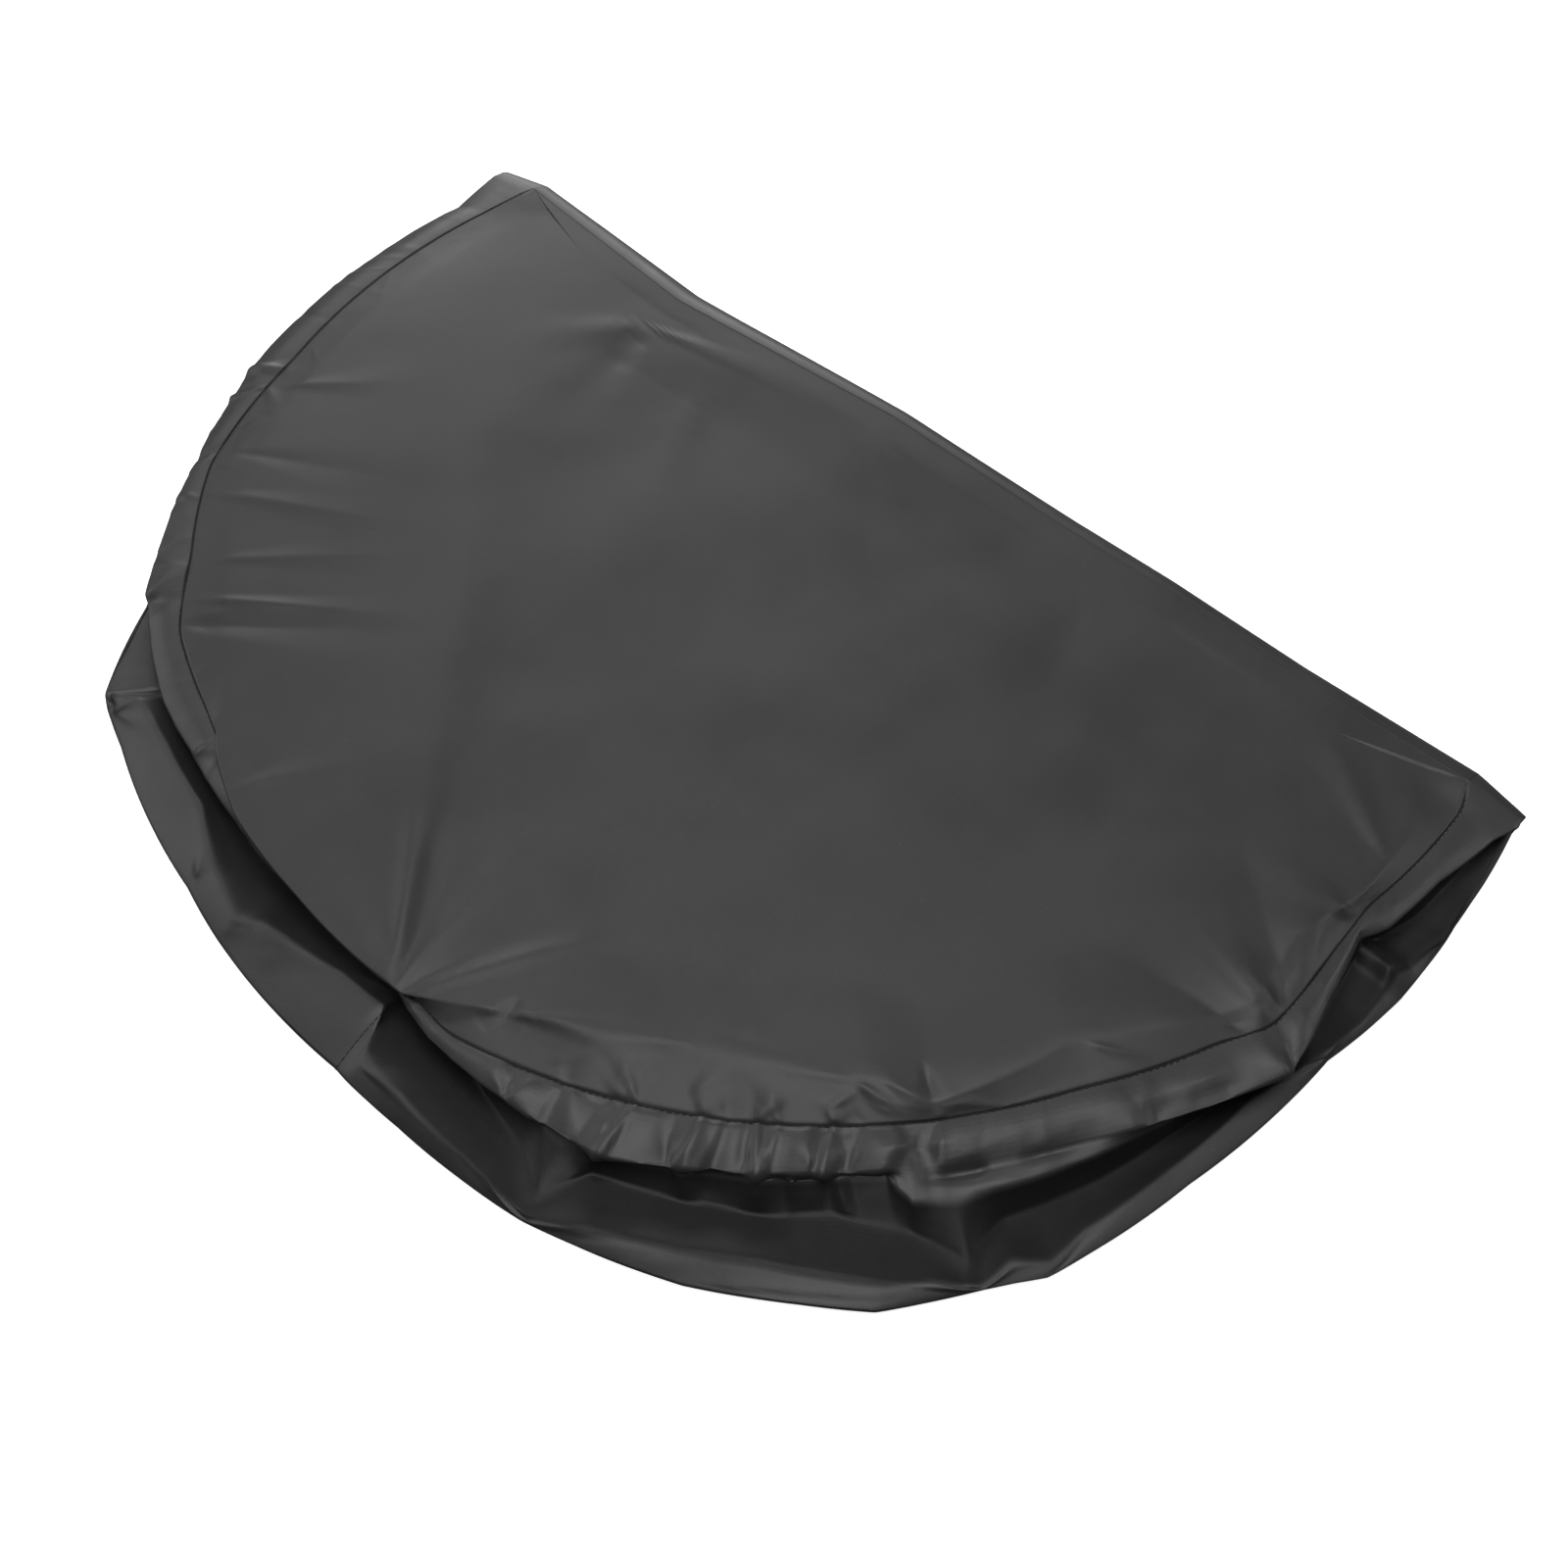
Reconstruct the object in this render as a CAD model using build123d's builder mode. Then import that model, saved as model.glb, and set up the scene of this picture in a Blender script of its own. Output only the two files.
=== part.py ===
"""Spare tire cover, collapsed flat and folded over along one straight line.

The cover is a shallow drum of thin coated cloth: a round face, a side band sewn to its rim,
and an elastic in the band's hem. It lies with the larger part of the face on top. The rest of
the drum, the flap, is folded under it along a straight line. The fold works as a hinge: the top
part opens like a book's cover and comes to rest face down, in line with the flap.

Frame: +Z up, X along the fold line, the fold at +Y. Z = 0 is the surface that the cover lies on.
Lengths are in millimetres.
"""

import os
from math import hypot, sqrt

from build123d import *

# ---- the cut and sewn sizes
face_radius = 360.0  # finished radius of the round face, to the middle of its seam
band_width = 250.0  # width of the side band, from the face seam to the hem's edge
cloth = 0.8  # thickness that stands for the thin cloth and the air it traps
seam_line = 1.0  # width of a sewn line
stitch_height = 0.4  # how far a sewn line stands proud of the cloth
casing_width = 12.0  # hem casing, across its flat
casing_height = 3.4
elastic_width = 6.0
elastic_thickness = 1.2
hem_stitch_inset = 3.0  # from the casing's outer end to the middle of the hem stitching

# ---- how the cover lies
fold_offset = 93.0  # from the face's centre to the fold line
fold_radius = 15.0  # outer radius of the bend at the fold
body_gap = 0.5  # clearance between the top part and the flap or the bend
table_gap = 0.5  # the rim's cloth stays this far above the surface

# ---- the top part's band, which lies in loose folds around the arc
seam_flat = 3.0  # level strip of band beside the face seam
shelf_reach = 26.0  # how far the first fold stands out past the face seam
shelf_drop = 7.0  # the first fold's depth below the face
valley_reach = 9.0  # the re-entrant crease, past the face seam
valley_drop = 15.0
rim_reach = 42.0  # the lowest fold, which lies on the surface
tuck_start = 20.0  # where the tucked-in stretch of the band takes over, past the face seam

# ---- the flap's band, which is pressed flat in layers over the flap
flap_reach = 7.0  # how far the flap's layers stand out past its seam

# ---- the turns between two layers of the band
outer_turn = 2.6  # height of a turn at an outer edge
outer_turn_radius = 1.2
inner_turn = 0.6  # height of a turn at an inner crease
inner_turn_radius = 0.25

# ---- the band's cross seam
join_angle = -85.0  # where the strip's two ends are sewn together, about the face's centre
join_arc = 0.15  # degrees of arc that the sewn line covers

# ---- worked out from the sizes above
stack_height = 2 * fold_radius
seam_half = seam_line / 2
rim_radius = face_radius + rim_reach
total_depth = fold_offset + rim_radius + fold_radius
fold_y = total_depth / 2 - fold_radius
top_centre_y = fold_y - fold_offset
flap_centre_y = fold_y + fold_offset
fold_half_length = sqrt((face_radius - seam_half) ** 2 - fold_offset**2)

flap_first_z = outer_turn
flap_second_z = flap_first_z + inner_turn
flap_top_z = flap_second_z + outer_turn
top_hem_z = flap_top_z + body_gap

# The top sheet starts where its lower edge clears the bend all the way round.
top_start_y = fold_y - sqrt((fold_radius + body_gap) ** 2 - (fold_radius - cloth) ** 2)
# The folded band starts beyond the bend's radius, so that it clears the bend when it swings.
band_start_y = fold_y - fold_radius - body_gap

os.makedirs("parts", exist_ok=True)


def run_length(points):
    """Length of the straight runs between a list of (radius, height) points."""
    return sum(hypot(b[0] - a[0], b[1] - a[1]) for a, b in zip(points, points[1:]))


def beyond(y):
    """Plane across the cover at a Y place, whose upper side is the side of smaller Y."""
    return Plane.XZ.offset(-y)


def upright(centre_y):
    """Upright plane through a face's centre, in which the band's profile is drawn."""
    return Plane.XZ.offset(-centre_y)


def centre_axis(centre_y):
    return Axis((0, centre_y, 0), (0, 0, 1))


def face_sheet(centre_y, base_z, start_y):
    """A flat segment of the round face, on the side of start_y away from the fold."""
    with BuildPart() as sheet:
        with BuildSketch(Plane.XY.offset(base_z)):
            with Locations((0, centre_y)):
                Circle(face_radius - seam_half)
        extrude(amount=cloth)
        split(bisect_by=beyond(start_y), keep=Keep.TOP)
    return sheet


def ring_part(centre_y, start_y, middle_radius, base_z, width, height):
    """A flat-sided ring about a face's centre, cut off at start_y."""
    with BuildPart() as ring:
        with BuildSketch(upright(centre_y)):
            with Locations((middle_radius, base_z + height / 2)):
                Rectangle(width, height)
        revolve(axis=centre_axis(centre_y))
        split(bisect_by=beyond(start_y), keep=Keep.TOP)
    return ring


def band_part(centre_y, start_y, outline, radii, casing_z=None):
    """A stretch of the side band along an outline, with the hem's casing if it ends in the hem."""
    with BuildPart() as band:
        with BuildSketch(upright(centre_y)):
            with BuildLine():
                FilletPolyline(*outline, radius=radii)
                offset(amount=cloth, side=Side.RIGHT)
            make_face()
            if casing_z is not None:
                with Locations((outline[-1][0], casing_z + casing_height / 2)):
                    SlotOverall(casing_width, casing_height)
                    SlotOverall(
                        casing_width - 2 * cloth, casing_height - 2 * cloth, mode=Mode.SUBTRACT
                    )
        revolve(axis=centre_axis(centre_y))
        split(bisect_by=beyond(start_y), keep=Keep.TOP)
    return band


def write(built, name):
    built.part.label = name
    export_step(built.part, f"parts/{name}.step")


# ---- outlines of the band's outer side, as (radius from the face's centre, height)
shelf_z = stack_height - shelf_drop
valley_z = stack_height - valley_drop
top_outline_start = [
    (face_radius + seam_half, stack_height),
    (face_radius + seam_flat, stack_height),
    (face_radius + shelf_reach, shelf_z),
    (face_radius + shelf_reach, shelf_z - outer_turn),
    (face_radius + valley_reach, valley_z),
    (face_radius + valley_reach, valley_z - inner_turn),
    (rim_radius, table_gap + outer_turn),
    (rim_radius, table_gap),
    (face_radius + flap_reach + cloth, top_hem_z),
]
crease_radii = [outer_turn_radius] * 3 + [inner_turn_radius] * 2 + [outer_turn_radius] * 2
# What is left of the band's width runs in to the hem.
hem_radius = top_outline_start[-1][0] - (band_width - run_length(top_outline_start)) + casing_width / 2
# The band is in two stretches, which meet on the run between the rim and the level part.
rim_point, level_point = top_outline_start[-2:]
run_share = (rim_reach - tuck_start) / (rim_radius - level_point[0])
tuck_point = (
    face_radius + tuck_start,
    rim_point[1] + run_share * (level_point[1] - rim_point[1]),
)
outer_outline = top_outline_start[:-1] + [tuck_point]
tucked_outline = [tuck_point, level_point, (hem_radius, top_hem_z)]

# The flap's hem meets the top part's hem at the fold, so it has the same radius. The rest of
# the width is taken up by one pleat.
flap_outer = face_radius + flap_reach
flap_plain_run = flap_reach - seam_half + flap_outer - (hem_radius - casing_width / 2)
pleat_depth = (band_width - flap_plain_run - 2 * outer_turn - inner_turn) / 2
pleat_radius = flap_outer - pleat_depth
flap_outline = [
    (face_radius + seam_half, 0),
    (flap_outer, 0),
    (flap_outer, flap_first_z),
    (pleat_radius, flap_first_z),
    (pleat_radius, flap_second_z),
    (flap_outer, flap_second_z),
    (flap_outer, flap_top_z),
    (hem_radius, flap_top_z),
]
flap_radii = [outer_turn_radius] * 2 + [inner_turn_radius] * 2 + [outer_turn_radius] * 2

print(f"mouth radius {hem_radius - casing_width / 2:.1f}, pleat depth {pleat_depth:.1f}")

# ---- face panel: one round piece of cloth, in three stretches
face_panel_top = face_sheet(top_centre_y, stack_height - cloth, top_start_y)
write(face_panel_top, "face_panel_top")

face_panel_flap = face_sheet(flap_centre_y, 0, fold_y)
write(face_panel_flap, "face_panel_flap")

with BuildPart() as face_panel_fold:
    with BuildSketch(Plane.YZ.offset(-fold_half_length)):
        with Locations((fold_y, fold_radius)):
            Circle(fold_radius)
            Circle(fold_radius - cloth, mode=Mode.SUBTRACT)
        with Locations((fold_y - fold_radius, fold_radius)):
            Rectangle(2 * fold_radius, 2 * fold_radius, mode=Mode.SUBTRACT)
    extrude(amount=2 * fold_half_length)
write(face_panel_fold, "face_panel_fold")

# ---- side band: one strip, in three stretches
side_band_outer = band_part(top_centre_y, band_start_y, outer_outline, crease_radii)
write(side_band_outer, "side_band_outer")

side_band_tucked = band_part(
    top_centre_y, band_start_y, tucked_outline, outer_turn_radius, top_hem_z
)
write(side_band_tucked, "side_band_tucked")

side_band_flap = band_part(
    flap_centre_y, band_start_y, flap_outline, flap_radii, flap_top_z - casing_height
)
write(side_band_flap, "side_band_flap")

# ---- elastic in the hem, and the three sewn lines
for side, centre_y, seam_z, casing_z, stitch_z in (
    ("top", top_centre_y, stack_height - cloth, top_hem_z, top_hem_z + cloth),
    ("flap", flap_centre_y, 0, flap_top_z - casing_height, flap_top_z - cloth - stitch_height),
):
    seam_start_y = top_start_y if side == "top" else fold_y
    face_seam_thread = ring_part(centre_y, seam_start_y, face_radius, seam_z, seam_line, cloth)
    write(face_seam_thread, f"face_seam_thread_{side}")

    hem_elastic = ring_part(
        centre_y, band_start_y, hem_radius, casing_z + cloth, elastic_width, elastic_thickness
    )
    write(hem_elastic, f"hem_elastic_{side}")

    stitch_radius = hem_radius + casing_width / 2 + hem_stitch_inset
    hem_thread = ring_part(
        centre_y, band_start_y, stitch_radius, stitch_z, seam_line, stitch_height
    )
    write(hem_thread, f"hem_thread_{side}")

# ---- cross seam of the band, which lies on its outer side from the face seam to the rim
join_direction = Vector(1, 0, 0).rotate(Axis.Z, join_angle)
join_plane = Plane((0, top_centre_y, 0), join_direction, join_direction.rotate(Axis.Z, -90))
with BuildPart() as band_join_thread:
    with BuildSketch(join_plane):
        with BuildLine():
            FilletPolyline(*outer_outline[1:], radius=crease_radii[1:])
            offset(amount=stitch_height, side=Side.LEFT)
        make_face()
    revolve(axis=centre_axis(top_centre_y), revolution_arc=join_arc)
write(band_join_thread, "band_join_thread")
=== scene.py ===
# %% [markdown]
# # A spare tire cover, folded for storage
# The cover is a shallow drum of thin coated cloth: a round face, a side band and an elastic hem.
# It lies collapsed, with a third of the face folded under the rest along a straight line. The
# frame below brings the plain solids and the hinge along the fold. Everything that shows is made
# here as cloth and placed by that frame's sizes.

# %% Load the frame
import math

import bpy
import numpy as np
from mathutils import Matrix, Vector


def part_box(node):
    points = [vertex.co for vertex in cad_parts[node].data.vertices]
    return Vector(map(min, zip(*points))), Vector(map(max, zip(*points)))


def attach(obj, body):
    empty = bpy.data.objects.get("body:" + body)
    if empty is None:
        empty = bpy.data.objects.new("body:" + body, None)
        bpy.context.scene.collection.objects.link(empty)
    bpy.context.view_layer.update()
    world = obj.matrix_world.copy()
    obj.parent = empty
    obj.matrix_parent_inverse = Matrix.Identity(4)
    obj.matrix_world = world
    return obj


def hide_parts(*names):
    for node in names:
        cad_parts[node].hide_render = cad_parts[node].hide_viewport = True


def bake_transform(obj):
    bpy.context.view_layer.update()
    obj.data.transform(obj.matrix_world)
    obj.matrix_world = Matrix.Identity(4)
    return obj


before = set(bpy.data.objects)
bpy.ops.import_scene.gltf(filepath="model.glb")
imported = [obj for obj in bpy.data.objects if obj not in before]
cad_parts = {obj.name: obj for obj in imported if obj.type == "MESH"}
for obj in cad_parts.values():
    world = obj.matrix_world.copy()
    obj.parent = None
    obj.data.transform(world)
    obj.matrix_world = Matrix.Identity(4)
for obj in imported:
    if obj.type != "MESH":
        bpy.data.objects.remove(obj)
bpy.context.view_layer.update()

random_draws = np.random.default_rng(7)

# %% [markdown]
# ## Sizes from the frame
# The face seam's box gives the face's radius, and the bend's box gives the fold line and the
# height of the stack. The face's centre then follows, because the fold is a chord of the face.

# %% Sizes from the frame
MM = 0.001
seam_low, seam_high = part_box("face_seam_thread_top")
bend_low, bend_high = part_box("face_panel_fold")
elastic_low, elastic_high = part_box("hem_elastic_top")
face_radius = (seam_high[0] - seam_low[0]) / 2
bend_radius = (bend_high[2] - bend_low[2]) / 2
top_height = bend_high[2]
fold_y = bend_low[1]
fold_offset = math.sqrt(face_radius**2 - bend_high[0] ** 2)
centre_y = fold_y - fold_offset
hem_radius = (elastic_high[0] - elastic_low[0]) / 2
half_chord = math.sqrt(face_radius**2 - fold_offset**2)
print(f"face radius {face_radius:.4f}, fold offset {fold_offset:.4f}, hem radius {hem_radius:.4f}")

# %% [markdown]
# ## Camera, light and floor
# The cover is seen from a front corner, looking down at about fifty degrees. The floor is plain
# and pale, inside a round white backdrop. Six softboxes light the cover: strong ones above,
# behind and at one side, so that the creases catch a soft sheen, and three weaker ones.

# %% Camera
VIEW_AZIMUTH = math.radians(42.76)
VIEW_ELEVATION = math.radians(52.5)
VIEW_DISTANCE = 1.296
LENS = 56.25
aim = (0.0746, centre_y - 0.1273, 0.0)

camera_data = bpy.data.cameras.new("camera")
camera_data.lens = LENS
camera_data.sensor_width = 36.0
camera = bpy.data.objects.new("camera", camera_data)
bpy.context.scene.collection.objects.link(camera)
back = (
    math.sin(VIEW_AZIMUTH) * math.cos(VIEW_ELEVATION),
    -math.cos(VIEW_AZIMUTH) * math.cos(VIEW_ELEVATION),
    math.sin(VIEW_ELEVATION),
)
camera.location = tuple(point + VIEW_DISTANCE * step for point, step in zip(aim, back))
camera.rotation_euler = (math.pi / 2 - VIEW_ELEVATION, 0.0, VIEW_AZIMUTH)
bpy.context.scene.camera = camera


# %% Lights and floor
def soft_light(name, place, target, size, power):
    """A square softbox at a place, turned to face a target."""
    data = bpy.data.lights.new(name, "AREA")
    data.size = size
    data.energy = power
    lamp = bpy.data.objects.new(name, data)
    lamp.location = place
    direction = [goal - start for goal, start in zip(target, place)]
    flat = math.hypot(direction[0], direction[1])
    lamp.rotation_euler = (math.atan2(flat, -direction[2]), 0.0, math.atan2(-direction[0], direction[1]))
    bpy.context.scene.collection.objects.link(lamp)
    return lamp


soft_light("top_softbox", (-0.05, 0.05, 2.2), (0, 0, 0), 1.4, 20)
soft_light("front_softbox", (0.65, -0.7, 1.9), (0, 0, 0), 0.9, 6)
soft_light("back_strip", (-1.9, 2.0, 0.8), (0, 0, 0), 1.5, 26)
soft_light("side_softbox", (-2.2, -0.9, 1.3), (0, 0, 0), 1.8, 16)
soft_light("left_softbox", (-1.9, 0.75, 1.5), (0, 0, 0), 1.0, 3.8)
soft_light("right_softbox", (1.2, 1.5, 1.6), (0, 0, 0), 0.8, 6)

world = bpy.data.worlds.new("studio")
world.use_nodes = True
SKY_TONES = [(0.0, 0.06), (0.5, 0.08), (0.62, 0.11), (0.8, 0.17), (1.0, 0.19)]
world_nodes = world.node_tree.nodes
world_links = world.node_tree.links
direction = world_nodes.new("ShaderNodeTexCoord")
height = world_nodes.new("ShaderNodeVectorMath")
height.operation = "DOT_PRODUCT"
height.inputs[1].default_value = (-0.30, 0.35, 0.89)
share = world_nodes.new("ShaderNodeMapRange")
share.inputs["From Min"].default_value = -1.0
sky = world_nodes.new("ShaderNodeValToRGB")
while len(sky.color_ramp.elements) < len(SKY_TONES):
    sky.color_ramp.elements.new(0.5)
for stop, (position, tone) in zip(sky.color_ramp.elements, SKY_TONES):
    stop.position = position
    stop.color = (tone, tone, tone, 1.0)
world_links.new(direction.outputs["Generated"], height.inputs[0])
world_links.new(height.outputs["Value"], share.inputs["Value"])
world_links.new(share.outputs["Result"], sky.inputs["Fac"])
world_links.new(sky.outputs["Color"], world_nodes["Background"].inputs["Color"])
world_nodes["Background"].inputs["Strength"].default_value = 1.0
bpy.context.scene.world = world
bpy.context.scene.view_settings.view_transform = "Standard"

bpy.ops.mesh.primitive_plane_add(size=30, location=(0, 0, -0.0004))
floor = bpy.context.active_object
floor.name = "floor"
floor_paint = bpy.data.materials.new("pale_floor")
floor_paint.use_nodes = True
floor_shader = floor_paint.node_tree.nodes["Principled BSDF"]
floor_shader.inputs["Base Color"].default_value = (0.93, 0.93, 0.93, 1.0)
floor_shader.inputs["Roughness"].default_value = 0.9
floor_shader.inputs["Emission Color"].default_value = (1.0, 1.0, 1.0, 1.0)
floor_shader.inputs["Emission Strength"].default_value = 0.86
floor.data.materials.append(floor_paint)
floor.visible_glossy = False
floor.visible_diffuse = False

BACKDROP_RADIUS = 14
BACKDROP_DEPTH = 20
BACKDROP_MIDDLE = 9.8
bpy.ops.mesh.primitive_cylinder_add(
    vertices=96, radius=BACKDROP_RADIUS, depth=BACKDROP_DEPTH,
    end_fill_type="NOTHING", location=(0, 0, BACKDROP_MIDDLE),
)
backdrop = bpy.context.active_object
backdrop.name = "backdrop"
backdrop_paint = bpy.data.materials.new("pale_backdrop")
backdrop_paint.use_nodes = True
backdrop_shader = backdrop_paint.node_tree.nodes["Principled BSDF"]
backdrop_shader.inputs["Base Color"].default_value = (0.0, 0.0, 0.0, 1.0)
backdrop_shader.inputs["Roughness"].default_value = 1.0
backdrop_shader.inputs["Specular IOR Level"].default_value = 0.0
backdrop_shader.inputs["Emission Color"].default_value = (1.0, 1.0, 1.0, 1.0)
backdrop_shader.inputs["Emission Strength"].default_value = 1.0
backdrop.data.materials.append(backdrop_paint)
backdrop.visible_glossy = False
backdrop.visible_diffuse = False
backdrop.visible_shadow = False

# %% [markdown]
# ## How the cloth lies
# Going round the arc, the cloth makes the same few folds everywhere, but each fold wanders in
# and out and up and down, with sharp kinks where the stiff coating has creased. So each fold is
# a list of kinks: a bearing in degrees from the front, then the reach past the face seam's
# circle and the height, in millimetres. Many of the bearings and reaches are measured places
# that were worked out by another program, and the heights are judged by eye. Straight runs
# between kinks are what makes the cloth look crisp.

# %% The folds, from the face in to the hem
BROW = [  # where the top of the face turns down to its seam
    (-105, -24, 29), (-90, -22, 28.5), (-76, -22, 28.5), (-59, -20, 28), (-43, -22, 28), (-32, -20, 26),
    (-24, -2, 24.5), (-17, 3, 24), (-7, 1, 24), (2, 3, 24.5), (6, 4, 25), (12, -14, 28), (16, -24, 29),
    (22, -20, 29.5), (27, -30, 29.5), (33, -25, 29.5), (44, -21, 30), (49, -6, 27), (53, -12, 28),
    (61, -25, 29.5), (68, -16, 28.5), (76, -6, 27), (83, -22, 29.5), (90, -14, 28.5), (97, -14, 28.5),
    (105, -24, 29),
]
SEAM = [  # the seam between face and band
    (-105, 0, 30), (-100, 1, 27), (-73, -1, 24.5), (-58, 7, 24), (-47, 1, 24), (-38, 4, 24),
    (-29, -5, 23), (-22, -8, 22.5), (-12, -9, 22), (4, -6, 21), (11, 6, 21), (20, 5, 21), (34, 3, 21.5),
    (48, 1, 22), (60, -1, 22.5), (72, 3, 23), (76, 9, 23), (85, -4, 23.5), (90, -8, 24), (96, -3, 24.5),
    (103, 3, 27), (105, 0, 30),
]
CREST = [  # the first fold of the band, which is the upper edge
    (-105, 32, 24), (-100, 22, 21), (-76, 21, 21), (-67, 20, 20), (-59, 18, 21), (-43, 24, 20),
    (-32, 17, 19), (-26, 9, 18), (-17, 2, 17), (-7, -3, 16), (5, 0, 17), (10, 13, 19), (21, 28, 18),
    (26, 34, 17.5), (36, 28, 18.5), (43, 25, 18.5), (54, 23, 19), (60, 24, 19.5), (64.5, 27, 20),
    (76, 34, 21), (82, 15, 21), (88.4, 0, 21), (90.5, 7, 21.5), (97, 12, 22.5), (103, 24, 23),
    (105, 32, 24),
]
LIP = [  # a second edge that peeps out under the first
    (-105, 31, 21), (-100, 18, 19), (-59, 13, 16), (-43, 18, 15), (-32, 13, 14), (-17, -1, 13),
    (-7, -6, 12), (5, -3, 13), (15, 14, 14), (26, 31, 14), (38, 27, 15), (45.8, 22, 15),
    (47.2, 39, 15.5), (54, 36, 16), (60, 32, 16.5), (64.5, 27, 16), (70, 24, 16), (76, 29, 16),
    (77.5, 24, 15), (82, 10, 15), (88.4, -5, 14), (90.5, 2, 15), (97, 7, 18), (103, 21, 20),
    (105, 31, 21),
]
TUCK = [  # the bottom of the dark valley
    (-105, 22, 17), (-98, 10, 12), (-60, 8, 8), (-44, 8, 5), (-36, 8, 4), (-34, 8, 5), (-33.2, 8, 8),
    (-28, 4, 5), (-21, 0, 4), (-15, -2, 4), (-9.5, -7, 4), (-8, -7, 4), (-4, -6, 6), (0, -3, 10),
    (4.8, -2, 11), (5.8, -2, 4), (12, 6, 4), (17, 24, 4), (20, 36, 5), (22.3, 56, 6), (25, 36, 5),
    (31, 39, 4.5), (38, 41, 4.5), (42, 39, 6), (47, 49, 4.5), (50.3, 66, 7), (53, 47, 4.5),
    (60, 38, 4.5), (66, 28, 4.5), (74, 20, 6), (79.7, 18, 8), (84, 8, 6.5), (87.5, 2, 7), (88.8, 0, 12),
    (90.5, 2, 7.5), (94.5, 10, 8.5), (99, 14, 11), (105, 22, 17),
]
RIDGE = [  # the top of the lowest fold
    (-105, 27, 16.5), (-95, 18, 11), (-60, 15, 9), (-45, 22, 6), (-34.6, 44, 9), (-33.4, 30, 13),
    (-28, 20, 13), (-21, 13, 12.5), (-15, 22, 12), (-9.5, 28, 12), (-8, 21, 13), (-4, 14, 13),
    (0, 8, 13), (5, 8, 13), (6.2, 33, 11), (11.5, 44, 11), (17, 54, 10), (22.3, 68, 6), (25.9, 66, 9),
    (30, 65, 10), (37.6, 67, 10), (44.6, 75, 9), (50, 79, 7), (51, 80, 5), (53, 70, 6), (55.4, 74, 5),
    (58, 62, 6), (64.7, 46, 6), (73, 29, 7), (79.7, 28, 7), (84, 26, 6), (87.5, 21, 8), (88.8, 18, 14),
    (90.5, 21, 7), (94.5, 27, 8), (99, 25, 11), (105, 27, 16.5),
]
RIM = [  # the outer edge of the lowest fold, which lies on the floor
    (-105, 30, 15), (-95, 24, 8), (-70, 20, 4), (-50, 22, 5), (-44, 27, 7), (-34.8, 48, 10),
    (-33.8, 49, 3), (-30, 45, 3), (-15, 39, 3), (5, 47, 3), (11.5, 54, 3), (22, 70, 3), (26, 75, 4),
    (33, 83, 3), (40, 86, 3), (44.5, 89, 3), (47.4, 85, 3), (51, 81, 4), (55, 80, 3), (66, 55, 3),
    (80, 32, 3), (88, 32, 3), (96, 28, 4.5), (105, 30, 15),
]
UNDER = [
    (-105, -10, 14), (-92, -8, 7), (-70, -8, 3.5), (0, -8, 2.4), (70, -8, 3), (92, -8, 4.5),
    (105, -10, 14),
]
HEM_NECK = [(-105, -107, 14), (-92, -107, 8), (0, -107, 6.2), (92, -107, 8), (105, -107, 14)]
HEM_EDGE = [(-105, -123, 15), (-92, -123, 9), (0, -123, 7.7), (92, -123, 9), (105, -123, 15)]
HEM_BACK = [(-105, -107, 16.5), (-92, -107, 11), (0, -107, 9.4), (92, -107, 11), (105, -107, 16.5)]


def follow(kinks, bearings, soften=0):
    """Reach and height of a fold at each bearing, in metres, softened over some neighbours."""
    degrees = np.degrees(bearings)
    table = np.array(kinks, dtype=float)
    values = []
    for column in (1, 2):
        line = np.interp(degrees, table[:, 0], table[:, column])
        for _ in range(soften):
            line[1:-1] = (line[:-2] + 2 * line[1:-1] + line[2:]) / 4
        values.append(line * MM)
    return values


ARC_STEPS = 760
FOLD_STEPS = 160
end_bearing = math.pi / 2 + math.asin(fold_offset / face_radius)
flap_bearing = math.acos(fold_offset / face_radius)
arc = np.linspace(-end_bearing, end_bearing, ARC_STEPS + 1)
flap_arc = np.linspace(-flap_bearing, flap_bearing, FOLD_STEPS + 1)
fold_x = face_radius * np.sin(flap_arc)
print(f"arc step {face_radius * (arc[1] - arc[0]) * 1000:.2f} mm")

# %% [markdown]
# ## Creases
# Thin coated cloth doesn't drape in soft waves. It stays nearly flat and breaks along short
# sharp lines. Two helpers make that. The first adds one crease: a ridge or a groove along a
# line, which fades to nothing at its ends. The second adds overall crumpling from triangle
# waves, whose straight flanks look like small facets.


# %% Crease helpers
FINEST_CREASE = 2 * MM


def crease(x, y, start, end, height, width):
    """Height to add for a crease that is sharp at its start and fans out and fades to its end."""
    along = np.array(end) - np.array(start)
    length = math.hypot(*along)
    along = along / length
    run = ((x - start[0]) * along[0] + (y - start[1]) * along[1]) / length
    off = np.abs(-(x - start[0]) * along[1] + (y - start[1]) * along[0])
    spread = np.maximum(width * (0.3 + 3.6 * np.clip(run, 0, 1)), FINEST_CREASE)
    rise = np.clip(run / 0.12, 0, 1)
    fall = np.clip(1 - run, 0, 1)
    return height * rise * fall * fall * (3 - 2 * fall) * np.clip(1 - off / spread, 0, 1) ** 1.4


def triangle_wave(phase):
    return 2 * np.abs(2 * (phase - np.floor(phase + 0.5))) - 1


def crumple(x, y, size, draws, waves=5):
    """Small facets, between -1 and 1, about as large as size."""
    warp_x = x + 0.35 * size * np.sin(y / (0.9 * size) + draws.uniform(0, 6))
    warp_y = y + 0.35 * size * np.sin(x / (1.1 * size) + draws.uniform(0, 6))
    total = np.zeros_like(x)
    for _ in range(waves):
        turn = draws.uniform(0, math.pi)
        scale = size * draws.uniform(0.7, 1.9)
        phase = (warp_x * math.cos(turn) + warp_y * math.sin(turn)) / scale + draws.uniform(0, 1)
        total += triangle_wave(phase)
    return total / waves


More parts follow.
